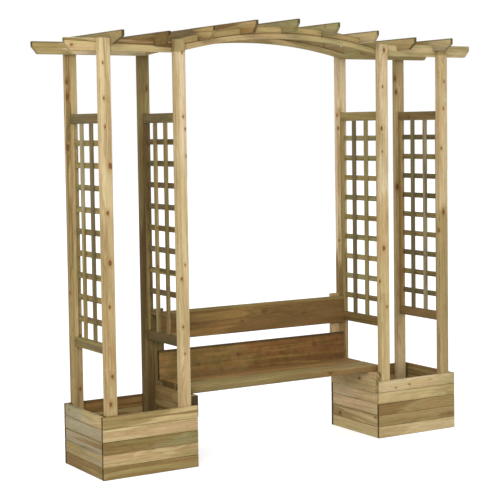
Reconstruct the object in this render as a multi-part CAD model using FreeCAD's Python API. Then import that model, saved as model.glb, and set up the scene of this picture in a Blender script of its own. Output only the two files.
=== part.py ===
# Arbour seat: a bench between two planter boxes, with trellis sides and a roof of rafters
# that are notched over straight beams and curved arches.
# Millimetres. X runs to the right, Y to the back, Z up. The origin is on the ground, under
# the middle of the seat. Everything is softwood.
import FreeCAD, Part
import math
import os

# Planter boxes
planter_width = 590.0
planter_depth = 515.0
planter_courses = 5
course_height = 70.0
wall_thickness = 18.0
bench_opening = 1260.0          # clear width between the two planters

# Planter floors
floor_slat_count = 5
floor_slat_width = 70.0
floor_slat_thickness = 18.0
floor_bearer_width = 28.0
floor_bearer_height = 35.0
floor_lift = 20.0               # the floor bearers' underside above the ground

# Posts, four to each planter
post_width = 68.0
post_depth = 36.0
post_height = 2400.0
post_inset = 32.0               # from the planter's end to the post's near face

# Beams and arches
beam_height = 70.0
beam_thickness = 28.0
beam_overhang = 207.0           # beyond the outer posts
beam_end_flat = 30.0            # upright part of the beam's cut end
beam_end_run = 34.0             # length of the slanted cut below it
beam_short_end = 25.0           # off the front beams' left end and the rear beams' right end
arch_rise = 88.0                # of the arch's lower edge over its ends
arch_strips = 2                 # each arch is made of concentric strips, one over the other

# Rafters
rafter_count = 9
rafter_length = 760.0
rafter_height = 70.0
rafter_thickness = 18.0
rafter_notch = 35.0             # how far a rafter is let down over a beam
rafter_end_flat = 25.0
rafter_end_run = 38.0
rafter_odd_ends = {             # flat and run of the rafters that are sawn differently
    1: (34.0, 120.0),
    8: (33.0, 58.0),
    9: (36.0, 60.0),
}
notch_clearance = 0.5           # on each side of the beam

# Trellis panels
trellis_bottom = 680.0
trellis_height = 1316.0
trellis_rail_height = 55.0
lattice_thickness = 14.0        # one layer: the rails are as thick as both layers
trellis_batten_width = 30.0
trellis_batten_count = 4
trellis_slat_height = 32.0
trellis_slat_count = 9

# Bench
seat_height = 442.0
seat_front = 74.0               # the planter's front to the front plank
plank_count = 2
plank_width = 165.0
plank_thickness = 38.0
plank_gap = 10.0
bearer_width = 45.0

# Back
lower_board_height = 175.0
upper_board_height = 169.0
back_board_thickness = 22.0
back_board_gap = 61.0
back_board_drop = 12.0          # the lower board's bottom edge below the seat's top
back_batten_width = 66.0
back_batten_thickness = 18.0
back_batten_rise = 17.0         # above the upper board

# Planed edges
board_ease = 2.5
lattice_ease = 1.5

# Places that several pieces share
planter_height = planter_courses * course_height
planter_inner_x = bench_opening / 2
planter_outer_x = planter_inner_x + planter_width
front_y = -planter_depth / 2
rear_y = planter_depth / 2
inside_front_y = front_y + wall_thickness
inside_rear_y = rear_y - wall_thickness
front_post_back_y = inside_front_y + post_depth
rear_post_front_y = inside_rear_y - post_depth
outer_post_x = planter_outer_x - post_inset - post_width
inner_post_x = planter_inner_x + post_inset
joint_x = inner_post_x + post_width / 2
beam_top = post_height
beam_bottom = beam_top - beam_height
bearer_top = seat_height - plank_thickness
bearer_bottom = (planter_courses - 1) * course_height

# The planks and back boards are pushed to the right, until they butt against the trellis.
bench_shift = post_width / 2 - lattice_thickness
bench_x = (-inner_post_x + bench_shift, inner_post_x + bench_shift)

# The arch's lower edge passes the beam's bottom at the joint, and its edges share one centre.
arch_radius = (joint_x ** 2 + arch_rise ** 2) / (2 * arch_rise)
arch_centre_z = beam_bottom + arch_rise - arch_radius

beam_rows = {
    "front": (front_post_back_y, front_post_back_y + beam_thickness),
    "rear": (rear_post_front_y - beam_thickness, rear_post_front_y),
}
post_rows = {
    "front": (inside_front_y, front_post_back_y),
    "rear": (rear_post_front_y, inside_rear_y),
}
post_columns = {"outer": outer_post_x, "inner": inner_post_x}
sides = {"left": -1, "right": 1}


def mirrored(span, side):
    """A pair of X values given for the right-hand half, taken to the asked side."""
    low, high = sorted(side * value for value in span)
    return (low, high)


def eased_section(width, height, ease):
    """Corner points of a rectangle whose four corners are cut off."""
    return [
        (ease, 0), (width - ease, 0), (width, ease), (width, height - ease),
        (width - ease, height), (ease, height), (0, height - ease), (0, ease),
    ]


def timber(x, y, z, along, ease=board_ease):
    """A sawn length of timber in the box x, y, z, with its long edges eased."""
    low = {"X": x[0], "Y": y[0], "Z": z[0]}
    size = {"X": x[1] - x[0], "Y": y[1] - y[0], "Z": z[1] - z[0]}
    across, up = {"X": ("Y", "Z"), "Y": ("Z", "X"), "Z": ("X", "Y")}[along]
    points = []
    for a, b in eased_section(size[across], size[up], ease):
        place = dict(low)
        place[across] += a
        place[up] += b
        points.append(FreeCAD.Vector(place["X"], place["Y"], place["Z"]))
    face = Part.Face(Part.makePolygon(points + points[:1]))
    direction = {axis: 0 for axis in "XYZ"}
    direction[along] = size[along]
    return face.extrude(FreeCAD.Vector(direction["X"], direction["Y"], direction["Z"]))


def prism_along_y(outline, y):
    """An outline of X, Z points, extruded between two Y values."""
    points = [FreeCAD.Vector(a, y[0], b) for a, b in outline]
    face = Part.Face(Part.makePolygon(points + points[:1]))
    return face.extrude(FreeCAD.Vector(0, y[1] - y[0], 0))


def prism_along_x(outline, x):
    """An outline of Y, Z points, extruded between two X values."""
    points = [FreeCAD.Vector(x[0], a, b) for a, b in outline]
    face = Part.Face(Part.makePolygon(points + points[:1]))
    return face.extrude(FreeCAD.Vector(x[1] - x[0], 0, 0))


def evenly(low, high, count, width):
    """Low and high edges of equal members with equal gaps, the end ones at the span's ends."""
    step = (high - low - width) / (count - 1)
    return [(low + i * step, low + i * step + width) for i in range(count)]


def save(name, solids):
    """Writes one sub-part, which may be a group of separate solids."""
    shape = solids[0] if len(solids) == 1 else Part.makeCompound(solids)
    shape.exportStep("parts/" + name + ".step")


# Planters

def courses(x, y, along, count=planter_courses):
    """The boards of one wall, one over the other."""
    boards = []
    for i in range(count):
        z = (i * course_height, (i + 1) * course_height)
        boards.append(timber(x, y, z, along))
    return boards


def planter(label, side):
    """Front and rear walls run the full width and cap the end walls. The inner wall is a
    course short, because the seat bearer stands on it. Cleats fill the space between the
    end walls and the posts, and hold the two together."""
    prefix = "planter_" + label
    full_x = mirrored((planter_inner_x, planter_outer_x), side)
    inner_x = mirrored((planter_inner_x, planter_inner_x + wall_thickness), side)
    outer_x = mirrored((planter_outer_x - wall_thickness, planter_outer_x), side)
    between_y = (inside_front_y, inside_rear_y)
    save(prefix + "_front_boards", courses(full_x, (front_y, inside_front_y), "X"))
    save(prefix + "_rear_boards", courses(full_x, (inside_rear_y, rear_y), "X"))
    save(prefix + "_inner_boards", courses(inner_x, between_y, "Y", planter_courses - 1))
    save(prefix + "_outer_boards", courses(outer_x, between_y, "Y"))

    cleats = []
    inner_gap = mirrored((planter_inner_x + wall_thickness, inner_post_x), side)
    outer_gap = mirrored((outer_post_x + post_width, planter_outer_x - wall_thickness), side)
    for gap, height in ((inner_gap, bearer_bottom), (outer_gap, planter_height)):
        for row in post_rows.values():
            cleats.append(timber(gap, row, (0, height), "Z", lattice_ease))
    save(prefix + "_corner_cleats", cleats)
    planter_floor(prefix, side)


def planter_floor(prefix, side):
    """Slats on two bearers, which are fixed along the end walls between the cleats."""
    inside = (planter_inner_x + wall_thickness, planter_outer_x - wall_thickness)
    between_y = (front_post_back_y, rear_post_front_y)
    bearer_z = (floor_lift, floor_lift + floor_bearer_height)
    slat_z = (bearer_z[1], bearer_z[1] + floor_slat_thickness)
    bearers = []
    for x in ((inside[0], inside[0] + floor_bearer_width),
              (inside[1] - floor_bearer_width, inside[1])):
        bearers.append(timber(mirrored(x, side), between_y, bearer_z, "Y"))
    save(prefix + "_floor_bearers", bearers)

    slats = []
    for y in evenly(between_y[0], between_y[1], floor_slat_count, floor_slat_width):
        slats.append(timber(mirrored(inside, side), y, slat_z, "X"))
    save(prefix + "_floor_slats", slats)


# Posts

def posts(label, side):
    """They stand on the ground inside the planter's corners."""
    for column, near_x in post_columns.items():
        x = mirrored((near_x, near_x + post_width), side)
        for row, y in post_rows.items():
            name = "post_" + label + "_" + column + "_" + row
            save(name, [timber(x, y, (0, post_height), "Z")])


# Beams and arches

def beam(label, side):
    """A straight beam on the posts' inward faces, cut on a slant at its outer end. It
    meets the arch at the middle of the inner post."""
    for row, y in beam_rows.items():
        end_x = outer_post_x + post_width + beam_overhang
        if (row == "front") == (label == "left"):
            end_x -= beam_short_end
        outline = [
            (side * joint_x, beam_bottom), (side * joint_x, beam_top),
            (side * end_x, beam_top), (side * end_x, beam_top - beam_end_flat),
            (side * (end_x - beam_end_run), beam_bottom),
        ]
        save("beam_" + label + "_" + row, [prism_along_y(outline, y)])


def arch_strip(inner_radius, outer_radius, y):
    """A strip's cross-section turned about the arch's centre, then cut upright at the joints."""
    half_turn = math.degrees(math.asin(joint_x / inner_radius)) + 1.0
    width = y[1] - y[0]
    points = []
    for a, b in eased_section(width, outer_radius - inner_radius, lattice_ease):
        points.append(FreeCAD.Vector(0, y[0] + a, arch_centre_z + inner_radius + b))
    section = Part.Face(Part.makePolygon(points + points[:1]))
    centre = FreeCAD.Vector(0, 0, arch_centre_z)
    axis = FreeCAD.Vector(0, 1, 0)
    section.rotate(centre, axis, -half_turn)
    strip = section.revolve(centre, axis, 2 * half_turn)
    span = Part.makeBox(2 * joint_x, width, post_height + beam_height + arch_rise,
                        FreeCAD.Vector(-joint_x, y[0], 0))
    return strip.common(span).Solids[0]


def arches():
    """Each arch carries the roof over the bench in the line of the straight beams."""
    strip_height = beam_height / arch_strips
    for row, y in beam_rows.items():
        for i in range(arch_strips):
            low = arch_radius + i * strip_height
            strip = arch_strip(low, low + strip_height, y)
            level = ("lower", "upper")[i] if arch_strips == 2 else str(i + 1)
            save("arch_" + row + "_" + level + "_strip", [strip])


# Rafters

def arch_top(x):
    """Height of the arch's upper edge, and its slope, at one X."""
    height = math.sqrt((arch_radius + beam_height) ** 2 - x ** 2)
    return arch_centre_z + height, -x / height


def seat_under_rafter(x):
    """Height and slope of the notch's seat in a rafter whose middle is at x."""
    near = abs(x) - rafter_thickness / 2
    far = abs(x) + rafter_thickness / 2
    if far <= joint_x:
        return arch_top(x)
    if near >= joint_x:
        return beam_top, 0.0
    return max(beam_top, arch_top(near)[0]), 0.0


def rafter(x, end_flat, end_run):
    """An upright board with slanted ends, notched over both beams. Over the arches the
    notch's seat is sawn at the slope of the arch, so that it bears across its thickness."""
    seat, slope = seat_under_rafter(x)
    top = seat + rafter_notch
    bottom = top - rafter_height
    half = rafter_length / 2
    outline = [
        (-half, top), (half, top), (half, top - end_flat),
        (half - end_run, bottom), (-half + end_run, bottom), (-half, top - end_flat),
    ]
    board = prism_along_x(outline, (x - rafter_thickness / 2, x + rafter_thickness / 2))
    reach = rafter_thickness
    cut = [
        (x - reach, bottom - reach), (x + reach, bottom - reach),
        (x + reach, seat + slope * reach), (x - reach, seat - slope * reach),
    ]
    for y in beam_rows.values():
        notch_y = (y[0] - notch_clearance, y[1] + notch_clearance)
        board = board.cut(prism_along_y(cut, notch_y))
    return board.Solids[0]


def rafters():
    """Evenly spaced. The first and the last lie against the outer posts."""
    usual_end = (rafter_end_flat, rafter_end_run)
    for i, x in enumerate(evenly(-outer_post_x, outer_post_x, rafter_count, rafter_thickness)):
        end_flat, end_run = rafter_odd_ends.get(i + 1, usual_end)
        save("rafter_" + str(i + 1), [rafter((x[0] + x[1]) / 2, end_flat, end_run)])


# Trellis

def trellis(label, column, side):
    """A panel between a front and a rear post: two rails, upright battens in the left-hand
    layer and level slats in the right-hand layer."""
    middle = side * (post_columns[column] + post_width / 2)
    left_layer = (middle - lattice_thickness, middle)
    right_layer = (middle, middle + lattice_thickness)
    both = (left_layer[0], right_layer[1])
    y = (front_post_back_y, rear_post_front_y)
    top = trellis_bottom + trellis_height
    inner_z = (trellis_bottom + trellis_rail_height, top - trellis_rail_height)
    prefix = "trellis_" + label + "_" + column
    rails = [
        timber(both, y, (trellis_bottom, inner_z[0]), "Y", lattice_ease),
        timber(both, y, (inner_z[1], top), "Y", lattice_ease),
    ]
    save(prefix + "_rails", rails)

    battens = []
    for place in evenly(y[0], y[1], trellis_batten_count, trellis_batten_width):
        battens.append(timber(left_layer, place, inner_z, "Z", lattice_ease))
    save(prefix + "_battens", battens)

    slats = []
    pitch = (inner_z[1] - inner_z[0] + trellis_slat_height) / (trellis_slat_count + 1)
    for i in range(1, trellis_slat_count + 1):
        low = inner_z[0] + i * pitch - trellis_slat_height
        slats.append(timber(right_layer, y, (low, low + trellis_slat_height), "Y", lattice_ease))
    save(prefix + "_slats", slats)


# Bench and back

def bench():
    """Planks on two bearers, which stand on the planters' inner walls against the posts."""
    for label, side in sides.items():
        x = mirrored((inner_post_x, inner_post_x - bearer_width), side)
        y = (inside_front_y, inside_rear_y)
        save("seat_bearer_" + label, [timber(x, y, (bearer_bottom, bearer_top), "Y")])
    for i in range(plank_count):
        low = front_y + seat_front + i * (plank_width + plank_gap)
        name = ("front", "rear")[i] if plank_count == 2 else str(i + 1)
        plank = timber(bench_x, (low, low + plank_width), (bearer_top, seat_height), "X")
        save("seat_plank_" + name, [plank])


def back():
    """Two boards, screwed to battens that stand on the seat bearers beside the rear posts."""
    board_y = (rear_post_front_y - back_board_thickness, rear_post_front_y)
    lower = seat_height - back_board_drop
    upper = lower + lower_board_height + back_board_gap
    top = upper + upper_board_height
    for name, z in (("lower", (lower, lower + lower_board_height)), ("upper", (upper, top))):
        save("back_board_" + name, [timber(bench_x, board_y, z, "X")])
    batten_y = (rear_post_front_y, rear_post_front_y + back_batten_thickness)
    batten_z = (bearer_top, top + back_batten_rise)
    for label, side in sides.items():
        x = mirrored((inner_post_x, inner_post_x - back_batten_width), side)
        save("back_batten_" + label, [timber(x, batten_y, batten_z, "Z")])


os.makedirs("parts", exist_ok=True)
for label, side in sides.items():
    planter(label, side)
    posts(label, side)
    beam(label, side)
    for column in post_columns:
        trellis(label, column, side)
arches()
rafters()
bench()
back()
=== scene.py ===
"""The looks of the arbour seat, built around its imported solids.

Every piece of timber is remade as its own board, with worn edges, tones of its own and the
coordinates of the log that it was sawn from, and stands for its CAD node. A procedural wood
material reads these. Metres throughout: X to the right, Y to the back, Z up.
"""
import math
import random

import bmesh
import bpy
from mathutils import Matrix, Vector

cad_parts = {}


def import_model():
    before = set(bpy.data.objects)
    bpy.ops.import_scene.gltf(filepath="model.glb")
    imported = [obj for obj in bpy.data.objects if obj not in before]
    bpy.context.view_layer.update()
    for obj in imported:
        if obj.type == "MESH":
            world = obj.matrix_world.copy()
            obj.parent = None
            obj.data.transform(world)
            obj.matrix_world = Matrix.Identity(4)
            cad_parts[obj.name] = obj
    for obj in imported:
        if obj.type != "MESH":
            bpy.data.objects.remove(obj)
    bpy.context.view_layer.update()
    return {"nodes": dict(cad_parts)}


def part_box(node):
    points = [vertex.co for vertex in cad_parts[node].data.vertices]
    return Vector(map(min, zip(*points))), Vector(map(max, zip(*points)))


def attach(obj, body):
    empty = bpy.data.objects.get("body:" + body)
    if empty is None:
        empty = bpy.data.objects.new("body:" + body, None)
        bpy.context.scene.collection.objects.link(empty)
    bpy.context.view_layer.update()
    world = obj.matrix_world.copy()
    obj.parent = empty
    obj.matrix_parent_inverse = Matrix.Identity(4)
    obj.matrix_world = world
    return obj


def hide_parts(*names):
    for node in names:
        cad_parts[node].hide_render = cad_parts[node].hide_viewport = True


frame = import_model()

X, Y, Z = 0, 1, 2
SIDES = ("left", "right")
COLUMNS = ("outer", "inner")
ROWS = ("front", "rear")

# Timber counts and widths, as in the solids
COURSES = 5
CLEAT_DEPTH = 0.036
FLOOR_BEARER_WIDTH = 0.028
FLOOR_SLATS = 5
FLOOR_SLAT_WIDTH = 0.070
TRELLIS_RAIL_HEIGHT = 0.055
TRELLIS_BATTENS = 4
TRELLIS_BATTEN_WIDTH = 0.030
TRELLIS_SLATS = 9
TRELLIS_SLAT_HEIGHT = 0.032
RAFTERS = 9

# How boards differ from a perfect box
SKIN = 0.0002                   # every board is this much inside its solid
END_EASE = 0.0008
WALL_STEP = 0.0008              # most that a wall board's faces lie behind its neighbours'

# How boards lie in their logs
PITH_AWAY = (0.03, 0.09)
LOG_LENGTH = 40                 # boards are cut from anywhere along it, so none are alike
LOG_LEAN = 0.02                 # most that the grain leans, along a board

# How far long edges are worn round
EDGE = 0.0022                   # where nothing else is said
EDGE_HEAVY = 0.003              # planter walls, posts and the front plank
# the rear plank's wide darkened edge gives a dark line that is painted shade in the gap between the
# two planks
EDGE_REAR_PLANK = 0.008
EDGE_BACK_BOARD = 0.0028
EDGE_ARCH = 0.0024
EDGE_BEAM = 0.0015
EDGE_RAFTER = 0.002
EDGE_RAIL = 0.0018
EDGE_LATTICE = 0.0014

# How the meshes are made
STATION_STEP = 0.06             # between the rings of points along a board
ARCH_STATIONS = 44              # rings of points along an arch
CORNER_POINTS = 4               # on each rounded corner of a section
SMOOTH_BELOW = 38               # degrees between faces that are shaded as one
SHARP_ABOVE = 25                # degrees at an edge that is worn
FLAT_BELOW = 0.4                # degrees between triangles of one flat face
SQUARE_CUT = 0.98               # how far a face of end grain looks along the grain
SLANTED_CUT = 0.2               # and that of a slanted cut


def srgb(r, g, b):
    """A colour written as 0 to 255, as the shaders want it."""
    linear = []
    for value in (r, g, b):
        c = value / 255
        linear.append(c / 12.92 if c <= 0.04045 else ((c + 0.055) / 1.055) ** 2.4)
    return (*linear, 1.0)


# Boxes of single timbers

def node_box(node):
    low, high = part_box(node)
    return Vector(low), Vector(high)


def evenly(node, axis, count, size=None):
    """The boxes of equal members in a node, with equal gaps along one axis."""
    low, high = node_box(node)
    extent = high[axis] - low[axis]
    size = size or extent / count
    step = (extent - size) / (count - 1)
    boxes = []
    for i in range(count):
        a, b = low.copy(), high.copy()
        a[axis] = low[axis] + i * step
        b[axis] = a[axis] + size
        boxes.append((a, b))
    return boxes


def corner_boxes(node, width, depth):
    """Four boxes in the corners of a node's box, over its whole height."""
    low, high = node_box(node)
    boxes = []
    for x in (low.x, high.x - width):
        for y in (low.y, high.y - depth):
            boxes.append((Vector((x, y, low.z)), Vector((x + width, y + depth, high.z))))
    return boxes


# Boards

# Tones of treated softwood, by name
TONES = {
    "ivory": srgb(216, 197, 162),
    "cream": srgb(206, 185, 143),
    "pale": srgb(198, 177, 129),
    "sand": srgb(188, 166, 121),
    "pink": srgb(190, 162, 122),
    "straw": srgb(182, 160, 109),
    "palegreen": srgb(180, 166, 119),
    "grey": srgb(162, 150, 120),
    "tan": srgb(170, 148, 103),
    "khaki": srgb(159, 139, 91),
    "olive": srgb(143, 125, 77),
    "green": srgb(124, 119, 75),
    "brown": srgb(138, 111, 68),
    "walnut": srgb(124, 95, 54),
    "rust": srgb(128, 90, 50),
    "amber": srgb(152, 121, 70),
    "umber": srgb(100, 80, 46),
    "moss": srgb(90, 82, 46),
    "bark": srgb(84, 66, 36),
    "slate": srgb(112, 99, 69),
    "sage": srgb(148, 138, 97),
    "drab": srgb(132, 115, 73),
}
NO_KNOT = (Vector((-100, 0, 0)), 0.0005)    # far off, and tiny
NEVER = 10                      # a share of its length that no board reaches
NO_CROWN = (None, -50)          # a depth above the board


class Look:
    """How one board looks: its main tone, the tone of its bands and how much of the board they
    take, its green stains, a tone that it turns to some way along, with a tilted boundary, a
    tone along its top and how many millimetres deep, its marks across the grain, the darkness
    of its end grain and of a slanted cut, and knots at chosen shares of its box with their
    radius in millimetres."""

    def __init__(self, main, bands, share=0.4, green=0.15, far=None, far_from=0.6, tilt=0.0,
                 crown=NO_CROWN, cross=0.0, end=0.9, slant=0.15, knots=()):
        self.main = Vector(TONES[main][:3])
        self.bands = Vector(TONES[bands][:3])
        self.far = Vector(TONES[far or main][:3])
        self.far_from = far_from if far else NEVER
        self.tilt = tilt
        crown_tone, crown_depth = crown
        self.crown = Vector(TONES[crown_tone or main][:3])
        self.crown_depth = crown_depth / 1000
        self.share = share
        self.green = green
        self.cross = cross
        self.end = end
        self.slant = slant
        self.knots = knots


class Log:
    """Where in its log a board was sawn. It turns a point into log coordinates: along the
    grain, and two across it, measured from the pith."""

    def __init__(self, low, high, grain, rng, look):
        self.middle = (low + high) / 2
        self.top = high.z
        self.grain = grain
        self.across = [axis for axis in (X, Y, Z) if axis != grain]
        self.angle = rng.uniform(0, 2 * math.pi)
        self.pith = rng.uniform(*PITH_AWAY)
        self.along = rng.uniform(0, LOG_LENGTH)
        self.lean = Vector([rng.uniform(-LOG_LEAN, LOG_LEAN) for _ in self.across])
        self.look = look
        self.far_from = low[grain] + look.far_from * (high[grain] - low[grain])
        self.knots = []
        for *shares, radius in look.knots:
            place = Vector([low[i] + shares[i] * (high[i] - low[i]) for i in range(3)])
            self.knots.append((place, self(place), radius / 1000))

    def __call__(self, point):
        offset = point - self.middle
        s = offset[self.grain]
        a = offset[self.across[0]] + self.lean.x * s
        b = offset[self.across[1]] + self.lean.y * s
        cos, sin = math.cos(self.angle), math.sin(self.angle)
        return Vector((self.along + s, cos * a - sin * b + self.pith, sin * a + cos * b))

    def past_the_boundary(self, point):
        """How far along the grain a point is from where the look's third tone begins."""
        across = (point - self.middle)[self.across[1]]
        return point[self.grain] - self.far_from - self.look.tilt * across

    def nearest_knot(self, point):
        if not self.knots:
            return NO_KNOT
        return min(self.knots, key=lambda knot: (knot[0] - point).length)[1:]


class Timber:
    """Gathers boards into one mesh, with the attributes that the wood material reads."""

    def __init__(self, name):
        self.name = name
        self.bm = bmesh.new()
        point_vectors = self.bm.verts.layers.float_vector
        point_numbers = self.bm.verts.layers.float
        self.wood, self.main, self.bands, self.far, self.crown = [
            point_vectors.new(key) for key in ("wood", "main", "bands", "far", "crown")]
        self.share, self.green, self.cross, self.reach, self.depth, self.edge = [
            point_numbers.new(key)
            for key in ("share", "green", "cross", "reach", "depth", "edge")]
        self.end = self.bm.faces.layers.float.new("end")
        self.knot = self.bm.faces.layers.float_vector.new("knot")
        self.knot_size = self.bm.faces.layers.float.new("knot_size")

    def vertex(self, place, log, edge):
        v = self.bm.verts.new(place)
        v[self.wood] = log(place)
        v[self.main] = log.look.main
        v[self.bands] = log.look.bands
        v[self.far] = log.look.far
        v[self.crown] = log.look.crown
        v[self.share] = log.look.share
        v[self.green] = log.look.green
        v[self.cross] = log.look.cross
        v[self.reach] = log.past_the_boundary(place)
        v[self.depth] = log.top - place.z - log.look.crown_depth
        v[self.edge] = edge
        return v

    def face(self, verts, log, end=0.0):
        made = self.bm.faces.new(verts)
        made[self.end] = end
        made[self.knot], made[self.knot_size] = log.nearest_knot(made.calc_center_median())

    def tube(self, rings, log):
        """Sides between rings of points, and the two ends."""
        size = len(rings[0])
        for one, two in zip(rings, rings[1:]):
            for k in range(size):
                next_k = (k + 1) % size
                self.face((one[k], one[next_k], two[next_k], two[k]), log)
        for ring in (rings[0], rings[-1]):
            self.face(ring, log, log.look.end)

    def finish(self, slot, node):
        mesh = bpy.data.meshes.new(self.name)
        bmesh.ops.recalc_face_normals(self.bm, faces=self.bm.faces)
        self.bm.to_mesh(mesh)
        self.bm.free()
        piece = bpy.data.objects.new(self.name, mesh)
        bpy.context.scene.collection.objects.link(piece)
        mesh.materials.append(MATERIALS[slot])
        mesh.shade_smooth()
        mesh.set_sharp_from_angle(angle=math.radians(SMOOTH_BELOW))
        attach(piece, "root")
        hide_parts(node)


def rounded_section(width, height, radius, rng):
    """Points of a rectangle with worn corners, and whether each is on a worn arris."""
    corners = ((1, 1), (-1, 1), (-1, -1), (1, -1))
    points = []
    for i, (sx, sy) in enumerate(corners):
        r = min(radius * rng.uniform(0.75, 1.25), width * 0.3, height * 0.3)
        cx, cy = sx * (width / 2 - r), sy * (height / 2 - r)
        for k in range(CORNER_POINTS):
            turn = math.radians(90 * i + 90 * k / (CORNER_POINTS - 1))
            arris = 0 < k < CORNER_POINTS - 1
            points.append((cx + r * math.cos(turn), cy + r * math.sin(turn), arris))
    return points


def add_board(timber, box, grain, rng, look, radius, inset):
    """One sawn board in a box, its long edges worn round. inset takes its two wide faces
    back by up to that much, so that neighbours don't lie in one perfect plane."""
    low, high = (Vector(corner) for corner in box)
    low += Vector((SKIN,) * 3)
    high -= Vector((SKIN,) * 3)
    u, v = [axis for axis in (X, Y, Z) if axis != grain]
    thin = u if high[u] - low[u] < high[v] - low[v] else v
    low[thin] += rng.uniform(0, inset)
    high[thin] -= rng.uniform(0, inset)
    middle = (low + high) / 2
    length = high[grain] - low[grain]
    log = Log(low, high, grain, rng, look)
    section = rounded_section(high[u] - low[u], high[v] - low[v], radius, rng)
    count = max(2, round(length / STATION_STEP))
    stations = [0, END_EASE] + [length * i / count for i in range(1, count)]
    stations += [length - END_EASE, length]
    rings = []
    for i, s in enumerate(stations):
        at_end = i in (0, len(stations) - 1)
        ring = []
        for a, b, arris in section:
            place = middle.copy()
            shrink_u = END_EASE * math.copysign(1, a) if at_end else 0
            shrink_v = END_EASE * math.copysign(1, b) if at_end else 0
            place[grain] = low[grain] + s
            place[u] += a - shrink_u
            place[v] += b - shrink_v
            ring.append(timber.vertex(place, log, 1.0 if arris or at_end else 0.0))
        rings.append(ring)
    timber.tube(rings, log)


def add_solid(timber, node, grain, rng, look, ease):
    """A board with a sawn outline, such as a rafter: the node's own form, with worn edges."""
    source = bmesh.new()
    source.from_mesh(frame["nodes"][node].data)
    bmesh.ops.remove_doubles(source, verts=source.verts, dist=1e-5)
    bmesh.ops.dissolve_limit(source, angle_limit=math.radians(FLAT_BELOW), verts=source.verts,
                             edges=source.edges)
    sharp = [e for e in source.edges if len(e.link_faces) == 2
             and e.calc_face_angle(0) > math.radians(SHARP_ABOVE)]
    worn = bmesh.ops.bevel(source, geom=sharp, offset=ease, segments=2, profile=0.5,
                           affect="EDGES", clamp_overlap=True)
    worn_faces = set(worn["faces"])
    low, high = node_box(node)
    log = Log(low, high, grain, rng, look)
    copies = {}
    for vert in source.verts:
        edge = 1.0 if worn_faces.issuperset(vert.link_faces) else 0.0
        copies[vert] = timber.vertex(vert.co.copy(), log, edge)
    for face in source.faces:
        lean = abs(face.normal[grain])
        end = look.end if lean > SQUARE_CUT else look.slant if lean > SLANTED_CUT else 0.0
        timber.face([copies[vert] for vert in face.verts], log, end)
    source.free()


def add_arch_strip(timber, row, node, index, rng, look):
    """A strip bent to the arch: a worn rectangle carried round the arch's centre, its ends
    upright."""
    lower_low, lower_high = node_box("arch_" + row + "_lower_strip")
    height = node_box("arch_" + row + "_upper_strip")[1].z - lower_high.z
    half = lower_high.x
    rise = lower_high.z - height - lower_low.z
    radius = (half ** 2 + rise ** 2) / (2 * rise)
    centre = Vector((0, 0, lower_low.z + rise - radius))
    low, high = node_box(node)
    middle_y = (low.y + high.y) / 2
    middle_r = radius + (index + 0.5) * height
    log = Log(low, high, X, rng, look)
    section = rounded_section(high.y - low.y - 2 * SKIN, height - 2 * SKIN, EDGE_ARCH, rng)
    rings = []
    for i in range(ARCH_STATIONS + 1):
        share = 2 * i / ARCH_STATIONS - 1
        ring = []
        for a, b, arris in section:
            r = middle_r + b
            turn = share * math.asin((half - SKIN) / r)
            place = centre + Vector((r * math.sin(turn), middle_y + a, r * math.cos(turn)))
            ring.append(timber.vertex(place, log, 1.0 if arris else 0.0))
            # Straight grain would run out of a bent strip, so it follows the bend
            ring[-1][timber.wood] = log(Vector((r * turn, middle_y + a, low.z + b)))
            ring[-1][timber.depth] = height / 2 - b - look.crown_depth
        rings.append(ring)
    timber.tube(rings, log)


# Wood material

class Graph:
    """Short names for making and linking the shader nodes of a material or the world."""

    def __init__(self, owner):
        owner.use_nodes = True
        self.tree = owner.node_tree
        self.tree.nodes.clear()

    def node(self, kind, inputs=None, **settings):
        made = self.tree.nodes.new(kind)
        for key, value in settings.items():
            setattr(made, key, value)
        for key, value in (inputs or {}).items():
            self.put(made.inputs[key], value)
        return made

    def put(self, socket, value):
        if isinstance(value, bpy.types.NodeSocket):
            self.tree.links.new(value, socket)
        else:
            socket.default_value = value

    def math(self, operation, *values):
        made = self.node("ShaderNodeMath", operation=operation)
        for socket, value in zip(made.inputs, values):
            self.put(socket, value)
        return made.outputs[0]

    def vector(self, operation, *values):
        made = self.node("ShaderNodeVectorMath", operation=operation)
        for socket, value in zip(made.inputs, values):
            self.put(socket, value)
        return made.outputs["Value" if operation == "LENGTH" else "Vector"]

    def attribute(self, name, output="Vector"):
        return self.node("ShaderNodeAttribute", attribute_name=name).outputs[output]

    def noise(self, place, waves, detail=2.0, roughness=0.5, output="Fac"):
        """Noise with so many waves to the metre along each axis."""
        made = self.node("ShaderNodeTexNoise", {
            "Vector": self.vector("MULTIPLY", place, waves), "Scale": 1.0,
            "Detail": detail, "Roughness": roughness}, noise_dimensions="3D")
        return made.outputs[output]

    def ramp(self, value, low, high, to_low=0.0, to_high=1.0):
        made = self.node("ShaderNodeMapRange", interpolation_type="SMOOTHSTEP")
        for key, number in (("Value", value), ("From Min", low), ("From Max", high),
                            ("To Min", to_low), ("To Max", to_high)):
            self.put(made.inputs[key], number)
        return made.outputs["Result"]

    def mix(self, factor, a, b, blend="MIX"):
        made = self.node("ShaderNodeMix", data_type="RGBA", blend_type=blend)
        self.put(made.inputs["Factor"], factor)
        self.put(made.inputs[6], a)
        self.put(made.inputs[7], b)
        return made.outputs[2]

    def stain(self, factor, colour, r, g, b):
        """Darkens each channel to a share of itself."""
        return self.mix(factor, colour, (r, g, b, 1.0), "MULTIPLY")

    def parts(self, vector):
        return self.node("ShaderNodeSeparateXYZ", {"Vector": vector}).outputs

    def join(self, x, y, z):
        return self.node("ShaderNodeCombineXYZ", {"X": x, "Y": y, "Z": z}).outputs[0]


GROWTH_RING = 0.0056            # between two years' rings
KNOT_CELL = Vector((0.27, 0.085, 0.085))
KNOT_SIZES = 0.006              # radius of the largest knots of the lattice
KNOT_HEART = srgb(108, 66, 38)
KNOT_RIM = srgb(62, 40, 24)


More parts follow.
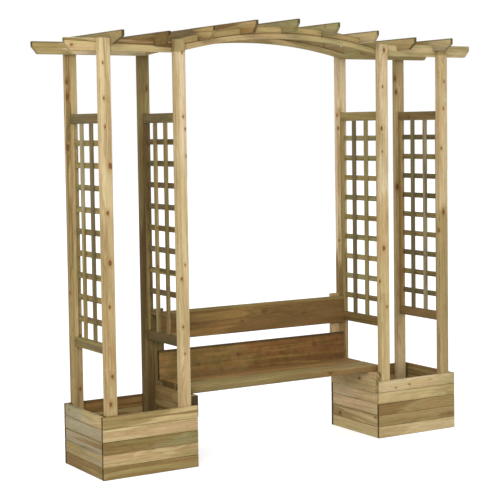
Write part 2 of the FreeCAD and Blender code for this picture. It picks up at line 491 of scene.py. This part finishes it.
def knot_fields(g, wood):
    """How far a point is in the heart, the rim and the surroundings of the nearest knot. There
    is a small knot in some cells of a stretched lattice, and one at each chosen place."""
    scaled = g.vector("DIVIDE", wood, KNOT_CELL)
    voronoi = g.node("ShaderNodeTexVoronoi", {"Vector": scaled, "Scale": 1.0},
                     feature="F1", voronoi_dimensions="3D")
    wobble = g.noise(wood, (60, 120, 120), output="Color")
    wobble = g.vector("MULTIPLY", g.vector("SUBTRACT", wobble, (0.5,) * 3), (0.006,) * 3)
    away = g.vector("SUBTRACT", scaled, voronoi.outputs["Position"])
    away = g.vector("ADD", g.vector("MULTIPLY", away, KNOT_CELL), wobble)
    away = g.vector("LENGTH", g.vector("MULTIPLY", away, (0.72, 1, 1)))
    chance = g.parts(voronoi.outputs["Color"])[0]
    size = g.math("MULTIPLY", g.math("POWER", chance, 3.0), KNOT_SIZES)
    by_chance = g.math("DIVIDE", away, g.math("ADD", size, 0.0006))
    away = g.vector("ADD", g.vector("SUBTRACT", wood, g.attribute("knot")), wobble)
    away = g.vector("LENGTH", g.vector("MULTIPLY", away, (0.62, 1, 1)))
    chosen = g.math("DIVIDE", away, g.attribute("knot_size", "Fac"))
    radii = g.math("MINIMUM", by_chance, chosen)
    heart = g.ramp(radii, 1.12, 0.80)
    rim = g.math("MULTIPLY", g.ramp(radii, 0.65, 1.0), g.ramp(radii, 1.35, 1.0))
    halo = g.ramp(radii, 3.6, 0.9)
    return heart, rim, halo


def growth_fields(g, wood, halo):
    """The late wood of the rings, and a noise for bands of many rings, about a pith that wavers
    along the log. The grain bends round the knots."""
    slow = g.noise(wood, (1.7, 8, 8), output="Color")
    waver = g.vector("MULTIPLY", g.vector("SUBTRACT", slow, (0.5,) * 3), (0, 0.055, 0.055))
    along, a, b = g.parts(g.vector("ADD", wood, waver))
    radius = g.vector("LENGTH", g.join(0.0, a, b))
    radius = g.math("ADD", radius, g.math("MULTIPLY", halo, 0.006))
    fine = g.noise(wood, (7, 90, 90), detail=3.0)
    rings = g.math("ADD", g.math("DIVIDE", radius, GROWTH_RING), g.math("MULTIPLY", fine, 0.8))
    saw = g.math("FRACT", rings)
    late = g.math("MULTIPLY", g.ramp(saw, 0.20, 0.86), g.ramp(saw, 1.0, 0.90))
    bands = g.noise(g.join(radius, along, 0.0), (40, 0.55, 0), detail=4.0, roughness=0.62)
    return late, bands


def board_tones(g, bands, streaks):
    """The board's tones: the main one, the one that it turns to, its bands and its crown. For a few
    boards the third tone or the crown is painted light.
    """
    reach = g.math("ADD", g.attribute("reach", "Fac"),
                   g.math("MULTIPLY", g.math("SUBTRACT", bands, 0.5), 0.6))
    tone = g.mix(g.ramp(reach, -0.05, 0.05), g.attribute("main"), g.attribute("far"))
    threshold = g.math("SUBTRACT", 0.62, g.math("MULTIPLY", g.attribute("share", "Fac"), 0.24))
    band = g.ramp(bands, g.math("SUBTRACT", threshold, 0.05), g.math("ADD", threshold, 0.07))
    tone = g.mix(g.math("MULTIPLY", band, 0.92), tone, g.attribute("bands"))
    depth = g.math("ADD", g.attribute("depth", "Fac"),
                   g.math("MULTIPLY", g.math("SUBTRACT", streaks, 0.5), 0.016))
    return g.mix(g.ramp(depth, 0.002, -0.002, 0.0, 0.85), tone, g.attribute("crown"))


def wood_material(name):
    """Pressure-treated softwood in log coordinates: bands and growth rings about the pith,
    fibres, knots with the grain bent round them, green stains, dark end grain and darkened worn
    edges, partly dirt and partly painted shade in the seams between boards. The tones come with
    each board."""
    material = bpy.data.materials.new(name)
    g = Graph(material)
    wood = g.attribute("wood")
    knot, rim, halo = knot_fields(g, wood)
    late, bands = growth_fields(g, wood, halo)

    # What the rings don't rule
    fibres = g.noise(wood, (14, 700, 700))
    streaks = g.noise(wood, (1.7, 95, 95), detail=3.0, roughness=0.65)
    mottle = g.noise(wood, (24, 120, 120), roughness=0.6)
    hue = g.noise(wood, (2.3, 15, 15), detail=3.0, roughness=0.6)
    patches = g.noise(wood, (2.1, 9, 9), detail=3.0, roughness=0.6)
    blotches = g.noise(wood, (5, 26, 26), detail=3.0, roughness=0.6)
    marks = g.noise(wood, (15, 9, 9), detail=3.0, roughness=0.6)

    # Rings, streaks and a little change of hue
    colour = board_tones(g, bands, streaks)
    colour = g.stain(g.math("MULTIPLY", late, g.ramp(bands, 0.35, 0.65, 0.25, 0.8)), colour,
                     0.80, 0.74, 0.66)
    colour = g.stain(g.ramp(streaks, 0.46, 0.66, 0.0, 0.9), colour, 0.82, 0.79, 0.73)
    colour = g.stain(g.ramp(mottle, 0.48, 0.66, 0.0, 0.8), colour, 0.87, 0.86, 0.83)
    colour = g.stain(g.ramp(hue, 0.46, 0.34), colour, 0.95, 1.00, 0.93)
    colour = g.stain(g.ramp(hue, 0.54, 0.66), colour, 1.05, 0.97, 0.98)
    colour = g.stain(g.ramp(fibres, 0.45, 0.75), colour, 0.88, 0.87, 0.84)

    # Green stains, and green and brown marks across the grain
    green = g.math("MULTIPLY", g.attribute("green", "Fac"), g.ramp(blotches, 0.42, 0.64))
    colour = g.stain(green, colour, 0.66, 0.74, 0.52)
    cross = g.attribute("cross", "Fac")
    colour = g.stain(g.math("MULTIPLY", cross, g.ramp(marks, 0.51, 0.60)), colour,
                     0.76, 0.80, 0.60)
    colour = g.stain(g.math("MULTIPLY", cross, g.ramp(marks, 0.48, 0.38)), colour,
                     0.92, 0.80, 0.66)

    # Knots, dull patches, end grain, and worn edges darkened with dirt and with painted shade in
    # the seams between boards
    colour = g.stain(g.math("MULTIPLY", halo, 0.75), colour, 0.86, 0.70, 0.52)
    colour = g.mix(g.math("MULTIPLY", knot, 0.85), colour, KNOT_HEART)
    colour = g.mix(g.math("MULTIPLY", rim, 0.45), colour, KNOT_RIM)
    colour = g.stain(g.ramp(patches, 0.60, 0.36, 0.0, 0.7), colour, 0.86, 0.84, 0.81)
    # darkening along worn edges: partly dirt, partly painted shade where boards meet
    worn = g.math("MULTIPLY", g.attribute("edge", "Fac"),
                  g.ramp(blotches, 0.38, 0.62, 0.25, 0.95))
    colour = g.stain(worn, colour, 0.46, 0.44, 0.34)
    end_colour = g.stain(1.0, g.attribute("bands"), 0.15, 0.155, 0.10)
    end_colour = g.stain(g.math("MULTIPLY", late, 0.8), end_colour, 0.5, 0.5, 0.5)
    colour = g.mix(g.attribute("end", "Fac"), colour, end_colour)

    rough = g.math("ADD", 0.70, g.math("MULTIPLY", fibres, 0.22))
    height = g.math("ADD", g.math("MULTIPLY", fibres, 0.6), g.math("MULTIPLY", late, 0.55))
    height = g.math("ADD", height, g.math("MULTIPLY", knot, 0.5))
    bump = g.node("ShaderNodeBump", {"Strength": 0.35, "Distance": 0.0006, "Height": height})
    shader = g.node("ShaderNodeBsdfPrincipled", {"Base Color": colour, "Roughness": rough,
                    "Specular IOR Level": 0.25, "Normal": bump.outputs[0]})
    output = g.node("ShaderNodeOutputMaterial")
    g.put(output.inputs["Surface"], shader.outputs[0])
    return material


MATERIALS = {slot: wood_material(slot) for slot in (
    "planter_boards", "planter_inner_timber", "posts", "beams", "rafters", "trellis",
    "seat_planks", "back_boards", "bearers")}

# Looks of single boards. A node of several boards has them from below, or from
# the left or front. Boards without one are taken from their slot's usual looks.
LOOKS = {
    "planter_left_front_boards": [
        Look("khaki", "brown", 0.45, 0.3, end=1.0),
        Look("pink", "sand", 0.25, 0.05, far="tan", far_from=0.75, end=1.0),
        Look("olive", "brown", 0.18, 0.3, far="sage", far_from=0.70, tilt=4.0, end=1.0),
        Look("cream", "pink", 0.40, 0.1, far="sand", far_from=0.30, end=1.0),
        Look("khaki", "brown", 0.30, 0.1, far="pale", far_from=0.53, tilt=4.6, end=1.0)],
    "planter_left_outer_boards": [
        Look("khaki", "brown", 0.50, 0.3),
        Look("tan", "grey", 0.45, 0.4, far="khaki", far_from=0.5),
        Look("grey", "brown", 0.45, 0.1, crown=("olive", 9)),
        Look("grey", "pink", 0.50, 0.05),
        Look("sand", "grey", 0.30, 0.4, far="grey", far_from=0.55)],
    "planter_left_rear_boards": [
        Look("brown", "umber", 0.5, 0.4, end=1.0), Look("tan", "brown", 0.5, end=1.0),
        Look("olive", "brown", 0.5, end=1.0), Look("brown", "tan", 0.5, end=0.4),
        Look("amber", "rust", 0.4, 0.5, crown=("umber", 12), end=0.3)],
    "planter_left_inner_boards": [
        Look("khaki", "brown", 0.4), Look("khaki", "brown", 0.4), Look("tan", "brown", 0.4),
        Look("brown", "olive", 0.4, 0.2)],
    "planter_right_front_boards": [
        Look("sand", "pale", 0.40, 0.1, far="cream", far_from=0.27, end=1.0),
        Look("khaki", "tan", 0.45, 0.2, far="brown", far_from=0.78, end=1.0),
        Look("brown", "khaki", 0.45, 0.1, far="khaki", far_from=0.32, tilt=3.0, end=1.0),
        Look("pale", "cream", 0.40, 0.1, far="tan", far_from=0.68, end=0.1),
        Look("pale", "ivory", 0.30, 0.1, far="palegreen", far_from=0.85, end=0.1,
             knots=((0.40, 0, 0.45, 4.7), (0.22, 0, 0.30, 3.9)))],
    # The right planter's inner wall has lighter tones than the left one's, painted light against
    # the shade it stands in; its top board turns lighter towards the rear, painted light where the
    # seat plank's shadow falls.
    "planter_right_inner_boards": [
        Look("pale", "sand", 0.4, 0.1),
        Look("pale", "tan", 0.35, 0.1, far="khaki", far_from=0.62, tilt=2.0,
             knots=((0, 0.84, 0.3, 7.8),)),
        Look("cream", "pink", 0.3, 0.15),
        Look("sand", "cream", 0.4, 0.05, far="ivory", far_from=0.5)],
    "planter_right_rear_boards": [
        *[Look("tan", "brown", 0.4, end=1.0)] * 4, Look("brown", "walnut", 0.5, end=1.0)],
    "planter_right_outer_boards": [
        Look("tan", "brown", 0.4), Look("tan", "khaki", 0.4), Look("tan", "brown", 0.4),
        Look("khaki", "brown", 0.4), Look("brown", "khaki", 0.45, 0.1)],
    "post_left_outer_front": [Look("sand", "tan", 0.30, 0.05, far="cream", far_from=0.6, knots=(
        (0.80, 0, 0.713, 10), (0.60, 0, 0.494, 9.5), (0.40, 0, 0.172, 7.5), (0.60, 0, 0.235, 6.5),
        (0.35, 0, 0.865, 4.7), (0.42, 0, 0.801, 4.7), (0.48, 0, 0.607, 7), (0.50, 0, 0.394, 6),
        (0.30, 0, 0.944, 4.2)))],
    "post_left_outer_rear": [Look("tan", "brown", 0.40, 0.3, far="sand", far_from=0.65, knots=(
        (0.15, 0, 0.873, 9.5), (0.10, 0, 0.908, 6.5), (0.03, 0, 0.754, 10.5), (0, 0.2, 0.41, 6),
        (0.70, 0, 0.179, 7), (0.80, 0, 0.306, 5), (0.50, 0, 0.54, 5)))],
    "post_left_inner_front": [Look("cream", "sand", 0.35, 0.1, far="ivory", far_from=0.72,
        crown=("khaki", 70), knots=(
        (0.70, 0, 0.822, 4.7), (0.88, 0, 0.794, 4.5), (0.92, 0, 0.731, 4.5), (0.30, 0, 0.446, 6),
        (0.65, 0, 0.478, 4.5), (0.37, 0, 0.333, 4.7), (0.50, 0, 0.270, 4), (0.70, 0, 0.969, 4.7)))],
    "post_left_inner_rear": [Look("umber", "drab", 0.4, 0.1, far="tan", far_from=0.83, knots=(
        (0.74, 0, 0.893, 7.5), (0.40, 0, 0.30, 5.5), (0.80, 0, 0.71, 5.5), (0.40, 0, 0.827, 4.5)))],
    "post_right_inner_rear": [Look("brown", "pink", 0.30, 0.05, far="ivory", far_from=0.45, knots=(
        (0, 0.2, 0.825, 6), (0.05, 0, 0.79, 5), (0.07, 0, 0.495, 5.5), (0.60, 0, 0.588, 5)))],
    "post_right_inner_front": [Look("pale", "sand", 0.40, 0.1, far="ivory", knots=(
        (0.27, 0, 0.789, 8.5), (0.42, 0, 0.485, 8.5), (0.32, 0, 0.730, 4), (0.60, 0, 0.985, 7),
        (0.42, 0, 0.893, 4.2), (0, 0.2, 0.401, 6), (0.70, 0, 0.335, 4.7)))],
    "post_right_outer_rear": [Look("cream", "sand", 0.4, 0.1, far="tan", far_from=0.36, knots=(
        (0, 0.3, 0.922, 10), (0.05, 0, 0.885, 8), (0.12, 0, 0.630, 10.5), (0.50, 0, 0.312, 5.5)))],
    "post_right_outer_front": [Look("tan", "sand", 0.45, 0.2, far="cream", far_from=0.56,
        crown=("khaki", 60), knots=(
        (0.50, 0, 0.569, 9), (0, 0.2, 0.522, 8), (0.55, 0, 0.838, 5), (0.63, 0, 0.907, 4),
        (0.30, 0, 0.735, 4.7)))],
    "beam_left_front": [Look("pale", "cream", 0.30, 0.2, far="walnut", far_from=0.63, tilt=-22,
                             end=0.6, knots=((0.06, 0, 0.45, 5.5),))],
    "beam_left_rear": [Look("khaki", "tan", 0.40, 0.2, far="ivory", far_from=0.26,
                            crown=("slate", 9))],
    "beam_right_front": [Look("cream", "palegreen", 0.45, 0.3, end=0.7)],
    "beam_right_rear": [Look("palegreen", "tan", 0.45, 0.3, end=0.7)],
    "arch_front_lower_strip": [Look("sand", "palegreen", 0.4, 0.2, crown=("brown", 5))],
    "arch_front_upper_strip": [Look("khaki", "tan", 0.40, 0.3, far="straw", far_from=0.35,
                                    crown=("olive", 4))],
    "arch_rear_lower_strip": [Look("tan", "khaki", 0.35, 0.3, far="pale", crown=("brown", 5))],
    "arch_rear_upper_strip": [Look("tan", "brown", 0.4, 0.2)],
    # The front plank's crown is a lighter tone along its top face: painted light, for the light
    # that a top face gets.
    "seat_plank_front": [Look("drab", "brown", 0.35, 0.1, far="brown", far_from=0.62, end=0.4,
                              crown=("khaki", 5), knots=((0.73, 0, 0.6, 6.2), (0.95, 0.4, 1, 7)))],
    "seat_plank_rear": [Look("amber", "rust", 0.30, 0.1, end=0.4)],
    "back_board_upper": [Look("amber", "walnut", 0.32, 0.4, far="walnut", far_from=0.5, tilt=3.0,
                              crown=("olive", 16), end=0.7,
                              knots=((0.55, 0, 0.7, 6.5), (0.77, 0, 0.5, 5), (0.43, 0, 0.4, 4)))],
    "back_board_lower": [Look("brown", "amber", 0.35, 0.5, far="rust", far_from=0.45, cross=0.8,
                              crown=("bark", 13), end=0.7, knots=(
                                  (0.41, 0, 0.6, 8), (0.64, 0, 0.5, 7), (0.83, 0, 0.65, 5.5),
                                  (0.96, 0, 0.75, 6), (0.2, 0, 0.4, 4)))],
    "back_batten_right": [Look("tan", "pink", 0.45, 0.1)],
    "seat_bearer_left": [Look("khaki", "brown", 0.5, 0.3)],
    # The right bearer's pale tone is painted light against the shadow of the seat plank above it.
    "seat_bearer_right": [Look("sand", "brown", 0.35, 0.3, end=0.1, knots=(
        (0, 0.35, 0.55, 7),))],
    "trellis_left_outer_battens": [
        Look("khaki", "slate", 0.4), Look("slate", "olive", 0.4), Look("olive", "grey", 0.4),
        Look("tan", "sand", 0.5)],
    "trellis_left_inner_battens": [
        Look("amber", "brown", 0.4), Look("olive", "slate", 0.4), Look("khaki", "slate", 0.5),
        Look("umber", "olive", 0.4)],
    "trellis_right_inner_battens": [
        Look("khaki", "olive", 0.4), Look("sage", "olive", 0.4), Look("slate", "umber", 0.3),
        Look("khaki", "olive", 0.4)],
    "trellis_right_outer_battens": [
        Look("khaki", "olive", 0.4), Look("grey", "slate", 0.4), Look("slate", "green", 0.3),
        Look("tan", "amber", 0.5)],
    "trellis_left_outer_slats": [
        Look("olive", "slate", 0.4, 0.6), Look("olive", "green", 0.4, 0.6),
        Look("khaki", "slate", 0.4, 0.5), Look("olive", "brown", 0.4, 0.6),
        Look("olive", "slate", 0.4, 0.7), Look("khaki", "green", 0.4, 0.5),
        Look("olive", "green", 0.3, 0.7), Look("khaki", "olive", 0.4, 0.6),
        Look("olive", "khaki", 0.4, 0.5)],
    "trellis_left_inner_slats": [
        Look("brown", "umber", 0.4), Look("slate", "umber", 0.4), Look("olive", "moss", 0.4),
        Look("slate", "moss", 0.4), Look("brown", "moss", 0.4), Look("slate", "umber", 0.4),
        Look("umber", "slate", 0.4), Look("slate", "moss", 0.3, 0.4),
        Look("umber", "slate", 0.4, 0.4)],
    "trellis_right_inner_slats": [
        Look("olive", "slate", 0.4, 0.4), Look("sage", "olive", 0.4, 0.3),
        Look("khaki", "brown", 0.4, 0.3), Look("sage", "green", 0.4, 0.3),
        Look("olive", "slate", 0.4, 0.5), Look("sage", "green", 0.4, 0.4),
        Look("khaki", "olive", 0.4, 0.3), Look("sage", "olive", 0.4, 0.4),
        Look("sage", "green", 0.5, 0.6)],
    "trellis_right_outer_slats": [
        Look("slate", "olive", 0.4, 0.3), Look("olive", "umber", 0.4, 0.3),
        Look("slate", "green", 0.4, 0.4), Look("olive", "moss", 0.4, 0.4),
        Look("slate", "olive", 0.4, 0.3), Look("moss", "olive", 0.4, 0.3),
        Look("slate", "green", 0.4, 0.5), Look("slate", "olive", 0.4, 0.3),
        Look("slate", "moss", 0.4, 0.6)],
    "trellis_left_outer_rails": [Look("olive", "slate", 0.5, 0.3),
                                 Look("slate", "brown", 0.4, 0.1)],
    "trellis_left_inner_rails": [Look("umber", "moss", 0.4, 0.5),
                                 Look("olive", "slate", 0.5, 0.4)],
    "trellis_right_inner_rails": [Look("brown", "moss", 0.4, 0.6),
                                  Look("olive", "khaki", 0.5, 0.2)],
    "trellis_right_outer_rails": [Look("brown", "umber", 0.5, 0.4),
                                  Look("brown", "slate", 0.5, 0.2, knots=((0, 0.73, 0.35, 6),))],
    "rafter_1": [Look("khaki", "sage", 0.5, 0.4, far="slate", far_from=0.5, crown=("slate", 6),
                      slant=0.6)],
    "rafter_2": [Look("olive", "walnut", 0.5, 0.5, far="brown", crown=("slate", 10))],
    "rafter_3": [Look("straw", "brown", 0.3, 0.3, far="slate", far_from=0.25, cross=0.5,
                      crown=("slate", 6))],
    "rafter_4": [Look("amber", "tan", 0.3, 0.1, far="walnut", far_from=0.27,
                      crown=("slate", 6), slant=0.7)],
    "rafter_5": [Look("sage", "khaki", 0.4, 0.4, far="khaki", far_from=0.4,
                      crown=("slate", 7))],
    "rafter_6": [Look("sage", "palegreen", 0.4, 0.3, far="khaki", crown=("slate", 6))],
    "rafter_7": [Look("sand", "grey", 0.4, 0.2, crown=("slate", 6))],
    "rafter_8": [Look("tan", "sand", 0.35, 0.2, far="khaki", crown=("moss", 7), slant=0.8)],
    "rafter_9": [Look("grey", "palegreen", 0.3, 0.1, far="brown", far_from=0.32,
                      crown=("slate", 7))],
}
USUAL = {
    "planter_inner_timber": [("brown", "umber"), ("walnut", "moss"), ("umber", "moss")],
    "bearers": [("olive", "umber"), ("brown", "moss")],
}


def look_of(name, slot, i, rng):
    """The look chosen for board i of a node, or else one of its slot's usual looks."""
    if name in LOOKS:
        return LOOKS[name][i]
    main, bands = rng.choice(USUAL[slot])
    return Look(main, bands, rng.uniform(0.3, 0.65), rng.uniform(0.0, 0.6))


# The pieces

def group(name, slot, boxes, grain, radius=EDGE, inset=0):
    """A node of separate boards, remade board by board."""
    rng = random.Random(name)
    timber = Timber(name + "_wood")
    for i, box in enumerate(boxes):
        add_board(timber, box, grain, rng, look_of(name, slot, i, rng), radius, inset)
    timber.finish(slot, name)


def single(name, slot, grain, radius=EDGE):
    group(name, slot, [node_box(name)], grain, radius)


def sawn(name, slot, grain, ease):
    """A node that is one board with a sawn outline."""
    rng = random.Random(name)
    timber = Timber(name + "_wood")
    add_solid(timber, name, grain, rng, look_of(name, slot, 0, rng), ease)
    timber.finish(slot, name)


def cleat_boxes(side, cleats):
    """Cleats as wide as the gap between an end wall and its posts. Those at the inner wall
    are as high as that wall."""
    post_low, post_high = node_box("post_" + side + "_inner_front")
    wall_low, wall_high = node_box("planter_" + side + "_inner_boards")
    width = post_low.x - wall_high.x if side == "right" else wall_low.x - post_high.x
    boxes = corner_boxes(cleats, width, CLEAT_DEPTH)
    for low, high in boxes:
        if abs(low.x) < abs(post_low.x):
            high.z = wall_high.z
    return boxes


def planters():
    for side in SIDES:
        prefix = "planter_" + side
        for wall, grain in (("front", X), ("rear", X), ("inner", Y), ("outer", Y)):
            name = prefix + "_" + wall + "_boards"
            courses = COURSES - 1 if wall == "inner" else COURSES
            group(name, "planter_boards", evenly(name, Z, courses), grain, EDGE_HEAVY,
                  WALL_STEP)
        cleats = prefix + "_corner_cleats"
        group(cleats, "planter_inner_timber", cleat_boxes(side, cleats), Z)
        bearers = prefix + "_floor_bearers"
        group(bearers, "planter_inner_timber", evenly(bearers, X, 2, FLOOR_BEARER_WIDTH), Y)
        slats = prefix + "_floor_slats"
        group(slats, "planter_inner_timber", evenly(slats, Y, FLOOR_SLATS, FLOOR_SLAT_WIDTH), X)


def posts():
    for side in SIDES:
        for column in COLUMNS:
            for row in ROWS:
                single("post_" + side + "_" + column + "_" + row, "posts", Z, EDGE_HEAVY)


def roof():
    for row in ROWS:
        for side in SIDES:
            sawn("beam_" + side + "_" + row, "beams", X, EDGE_BEAM)
        for index, level in enumerate(("lower", "upper")):
            name = "arch_" + row + "_" + level + "_strip"
            rng = random.Random(name)
            timber = Timber(name + "_wood")
            add_arch_strip(timber, row, name, index, rng, look_of(name, "beams", 0, rng))
            timber.finish("beams", name)
    for i in range(1, RAFTERS + 1):
        sawn("rafter_" + str(i), "rafters", Y, EDGE_RAFTER)


def trellises():
    for side in SIDES:
        for column in COLUMNS:
            prefix = "trellis_" + side + "_" + column
            rails = prefix + "_rails"
            group(rails, "trellis", evenly(rails, Z, 2, TRELLIS_RAIL_HEIGHT), Y, EDGE_RAIL)
            battens = prefix + "_battens"
            group(battens, "trellis",
                  evenly(battens, Y, TRELLIS_BATTENS, TRELLIS_BATTEN_WIDTH), Z, EDGE_LATTICE)
            slats = prefix + "_slats"
            group(slats, "trellis",
                  evenly(slats, Z, TRELLIS_SLATS, TRELLIS_SLAT_HEIGHT), Y, EDGE_LATTICE)


def bench():
    single("seat_plank_front", "seat_planks", X, EDGE_HEAVY)
    single("seat_plank_rear", "seat_planks", X, EDGE_REAR_PLANK)
    for level in ("lower", "upper"):
        single("back_board_" + level, "back_boards", X, EDGE_BACK_BOARD)
    for side in SIDES:
        single("seat_bearer_" + side, "bearers", Y)
        single("back_batten_" + side, "bearers", Z)


planters()
posts()
roof()
trellises()
bench()


# Stage, light and camera

CAMERA_PLACE = (-4.4709, -7.2329, 1.9064)
CAMERA_AZIMUTH = 31.661         # degrees from +Y towards +X
CAMERA_DIP = 3.783
CAMERA_ROLL = -0.771
CAMERA_LENS = 102.749
CAMERA_SENSOR = 36
CAMERA_SHIFT = (-0.030, -0.056)
CAMERA_SIGHT = 100              # how far it sees

FLOOR_REACH = 40                # from its middle to each edge
FLOOR_TONE = 0.6                # how much light the floor gives back
FLOOR_GLOW = 0.62               # and what makes it look white
SKY_LIGHT = 0.95                # the world's light on the object, where 1 looks white

KEY_PLACE = (-6.2, -7.7, 4.4)
KEY_TARGET = (0, 0, 1.2)
KEY_SIZE = 5
KEY_WATTS = 550


def camera():
    data = bpy.data.cameras.new("camera")
    data.sensor_width = CAMERA_SENSOR
    data.lens = CAMERA_LENS
    data.shift_x, data.shift_y = CAMERA_SHIFT
    data.clip_end = CAMERA_SIGHT
    item = bpy.data.objects.new("camera", data)
    bpy.context.scene.collection.objects.link(item)
    turn = Matrix.Rotation(math.radians(-CAMERA_AZIMUTH), 4, "Z")
    dip = Matrix.Rotation(math.radians(90 - CAMERA_DIP), 4, "X")
    roll = Matrix.Rotation(math.radians(CAMERA_ROLL), 4, "Z")
    item.matrix_world = Matrix.Translation(CAMERA_PLACE) @ turn @ dip @ roll
    bpy.context.scene.camera = item


def seen_directly(g):
    """1 for rays from the camera, a reflection or glass, and 0 for light on the object."""
    path = g.node("ShaderNodeLightPath").outputs
    seen = g.math("MAXIMUM", path["Is Camera Ray"], path["Is Glossy Ray"])
    return g.math("MAXIMUM", seen, path["Is Transmission Ray"])


def floor():
    """A pale floor that looks white and keeps a soft shadow of the object."""
    mesh = bpy.data.meshes.new("floor")
    bm = bmesh.new()
    bmesh.ops.create_grid(bm, x_segments=1, y_segments=1, size=FLOOR_REACH)
    bm.to_mesh(mesh)
    bm.free()
    item = bpy.data.objects.new("floor", mesh)
    bpy.context.scene.collection.objects.link(item)
    material = bpy.data.materials.new("floor")
    g = Graph(material)
    diffuse = g.node("ShaderNodeBsdfDiffuse", {"Color": (FLOOR_TONE,) * 3 + (1,)})
    glow = g.node("ShaderNodeEmission", {"Color": (1, 1, 1, 1)})
    g.put(glow.inputs["Strength"], g.math("MULTIPLY", seen_directly(g), FLOOR_GLOW))
    both = g.node("ShaderNodeAddShader")
    g.put(both.inputs[0], diffuse.outputs[0])
    g.put(both.inputs[1], glow.outputs[0])
    output = g.node("ShaderNodeOutputMaterial")
    g.put(output.inputs["Surface"], both.outputs[0])
    mesh.materials.append(material)


def world():
    item = bpy.data.worlds.new("world")
    bpy.context.scene.world = item
    g = Graph(item)
    strength = g.ramp(seen_directly(g), 0.0, 1.0, SKY_LIGHT, 1.0)
    background = g.node("ShaderNodeBackground", {"Color": (1, 1, 1, 1), "Strength": strength})
    output = g.node("ShaderNodeOutputWorld")
    g.put(output.inputs["Surface"], background.outputs[0])


def key_light():
    data = bpy.data.lights.new("key", "AREA")
    data.shape = "DISK"
    data.size = KEY_SIZE
    data.energy = KEY_WATTS
    item = bpy.data.objects.new("key", data)
    bpy.context.scene.collection.objects.link(item)
    item.location = KEY_PLACE
    towards = Vector(KEY_TARGET) - Vector(KEY_PLACE)
    item.rotation_euler = towards.to_track_quat("-Z", "Y").to_euler()


camera()
floor()
world()
key_light()
bpy.context.scene.view_settings.view_transform = "Standard"
